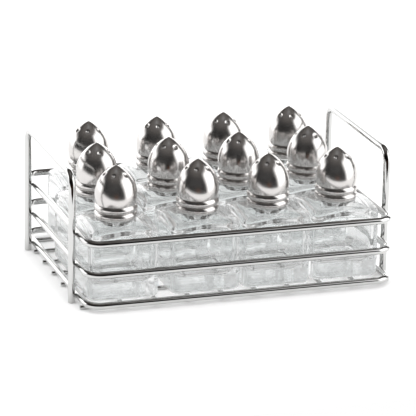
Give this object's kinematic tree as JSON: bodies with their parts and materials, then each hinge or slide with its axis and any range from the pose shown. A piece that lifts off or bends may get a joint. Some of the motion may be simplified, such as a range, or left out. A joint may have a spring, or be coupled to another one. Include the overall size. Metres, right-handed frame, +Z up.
{
  "type": "spice rack",
  "caption": "Chrome wire rack with end handles that holds loose square glass spice shakers with pointed metal screw caps.",
  "frame": {"origin": "middle of the rack on the table plane under its handle feet", "axes": "+X along the rack's long side towards the right handle, +Y to the back, +Z up"},
  "size_m": [0.1814, 0.1348, 0.0734],
  "materials": {
    "chrome_wire": "bright chrome plate on steel wire",
    "clear_glass": "pressed clear soda-lime glass, glossy",
    "polished_cap": "mirror-polished stainless steel sheet"
  },
  "bodies": {
    "rack": {"bottom_ring": "chrome_wire", "middle_ring": "chrome_wire", "top_ring": "chrome_wire", "left_handle": "chrome_wire", "right_handle": "chrome_wire", "floor_long_wire_1": "chrome_wire", "floor_long_wire_2": "chrome_wire", "floor_long_wire_3": "chrome_wire", "floor_long_wire_4": "chrome_wire", "floor_long_wire_5": "chrome_wire", "floor_long_wire_6": "chrome_wire", "floor_long_wire_7": "chrome_wire", "floor_cross_wire_1": "chrome_wire", "floor_cross_wire_2": "chrome_wire", "floor_cross_wire_3": "chrome_wire", "floor_cross_wire_4": "chrome_wire", "floor_cross_wire_5": "chrome_wire", "floor_cross_wire_6": "chrome_wire", "floor_cross_wire_7": "chrome_wire", "floor_cross_wire_8": "chrome_wire"},
    "jar_front_1": {"glass_jar_front_1": "clear_glass"},
    "cap_front_1": {"shaker_cap_front_1": "polished_cap"},
    "jar_front_2": {"glass_jar_front_2": "clear_glass"},
    "cap_front_2": {"shaker_cap_front_2": "polished_cap"},
    "jar_front_3": {"glass_jar_front_3": "clear_glass"},
    "cap_front_3": {"shaker_cap_front_3": "polished_cap"},
    "jar_front_4": {"glass_jar_front_4": "clear_glass"},
    "cap_front_4": {"shaker_cap_front_4": "polished_cap"},
    "jar_middle_1": {"glass_jar_middle_1": "clear_glass"},
    "cap_middle_1": {"shaker_cap_middle_1": "polished_cap"},
    "jar_middle_2": {"glass_jar_middle_2": "clear_glass"},
    "cap_middle_2": {"shaker_cap_middle_2": "polished_cap"},
    "jar_middle_3": {"glass_jar_middle_3": "clear_glass"},
    "cap_middle_3": {"shaker_cap_middle_3": "polished_cap"},
    "jar_middle_4": {"glass_jar_middle_4": "clear_glass"},
    "cap_middle_4": {"shaker_cap_middle_4": "polished_cap"},
    "jar_back_1": {"glass_jar_back_1": "clear_glass"},
    "cap_back_1": {"shaker_cap_back_1": "polished_cap"},
    "jar_back_2": {"glass_jar_back_2": "clear_glass"},
    "cap_back_2": {"shaker_cap_back_2": "polished_cap"},
    "jar_back_3": {"glass_jar_back_3": "clear_glass"},
    "cap_back_3": {"shaker_cap_back_3": "polished_cap"},
    "jar_back_4": {"glass_jar_back_4": "clear_glass"},
    "cap_back_4": {"shaker_cap_back_4": "polished_cap"}
  },
  "joints": [
    {"name": "lift_jar_front_1", "type": "slide", "parent": "rack", "child": "jar_front_1", "axis": [0, 0, 1], "range_m": [0, 0.08]},
    {"name": "lift_cap_front_1", "type": "slide", "parent": "jar_front_1", "child": "cap_front_1", "axis": [0, 0, 1], "range_m": [0, 0.03]},
    {"name": "lift_jar_front_2", "type": "slide", "parent": "rack", "child": "jar_front_2", "axis": [0, 0, 1], "range_m": [0, 0.08]},
    {"name": "lift_cap_front_2", "type": "slide", "parent": "jar_front_2", "child": "cap_front_2", "axis": [0, 0, 1], "range_m": [0, 0.03]},
    {"name": "lift_jar_front_3", "type": "slide", "parent": "rack", "child": "jar_front_3", "axis": [0, 0, 1], "range_m": [0, 0.08]},
    {"name": "lift_cap_front_3", "type": "slide", "parent": "jar_front_3", "child": "cap_front_3", "axis": [0, 0, 1], "range_m": [0, 0.03]},
    {"name": "lift_jar_front_4", "type": "slide", "parent": "rack", "child": "jar_front_4", "axis": [0, 0, 1], "range_m": [0, 0.08]},
    {"name": "lift_cap_front_4", "type": "slide", "parent": "jar_front_4", "child": "cap_front_4", "axis": [0, 0, 1], "range_m": [0, 0.03]},
    {"name": "lift_jar_middle_1", "type": "slide", "parent": "rack", "child": "jar_middle_1", "axis": [0, 0, 1], "range_m": [0, 0.08]},
    {"name": "lift_cap_middle_1", "type": "slide", "parent": "jar_middle_1", "child": "cap_middle_1", "axis": [0, 0, 1], "range_m": [0, 0.03]},
    {"name": "lift_jar_middle_2", "type": "slide", "parent": "rack", "child": "jar_middle_2", "axis": [0, 0, 1], "range_m": [0, 0.08]},
    {"name": "lift_cap_middle_2", "type": "slide", "parent": "jar_middle_2", "child": "cap_middle_2", "axis": [0, 0, 1], "range_m": [0, 0.03]},
    {"name": "lift_jar_middle_3", "type": "slide", "parent": "rack", "child": "jar_middle_3", "axis": [0, 0, 1], "range_m": [0, 0.08]},
    {"name": "lift_cap_middle_3", "type": "slide", "parent": "jar_middle_3", "child": "cap_middle_3", "axis": [0, 0, 1], "range_m": [0, 0.03]},
    {"name": "lift_jar_middle_4", "type": "slide", "parent": "rack", "child": "jar_middle_4", "axis": [0, 0, 1], "range_m": [0, 0.08]},
    {"name": "lift_cap_middle_4", "type": "slide", "parent": "jar_middle_4", "child": "cap_middle_4", "axis": [0, 0, 1], "range_m": [0, 0.03]},
    {"name": "lift_jar_back_1", "type": "slide", "parent": "rack", "child": "jar_back_1", "axis": [0, 0, 1], "range_m": [0, 0.08]},
    {"name": "lift_cap_back_1", "type": "slide", "parent": "jar_back_1", "child": "cap_back_1", "axis": [0, 0, 1], "range_m": [0, 0.03]},
    {"name": "lift_jar_back_2", "type": "slide", "parent": "rack", "child": "jar_back_2", "axis": [0, 0, 1], "range_m": [0, 0.08]},
    {"name": "lift_cap_back_2", "type": "slide", "parent": "jar_back_2", "child": "cap_back_2", "axis": [0, 0, 1], "range_m": [0, 0.03]},
    {"name": "lift_jar_back_3", "type": "slide", "parent": "rack", "child": "jar_back_3", "axis": [0, 0, 1], "range_m": [0, 0.08]},
    {"name": "lift_cap_back_3", "type": "slide", "parent": "jar_back_3", "child": "cap_back_3", "axis": [0, 0, 1], "range_m": [0, 0.03]},
    {"name": "lift_jar_back_4", "type": "slide", "parent": "rack", "child": "jar_back_4", "axis": [0, 0, 1], "range_m": [0, 0.08]},
    {"name": "lift_cap_back_4", "type": "slide", "parent": "jar_back_4", "child": "cap_back_4", "axis": [0, 0, 1], "range_m": [0, 0.03]}
  ]
}
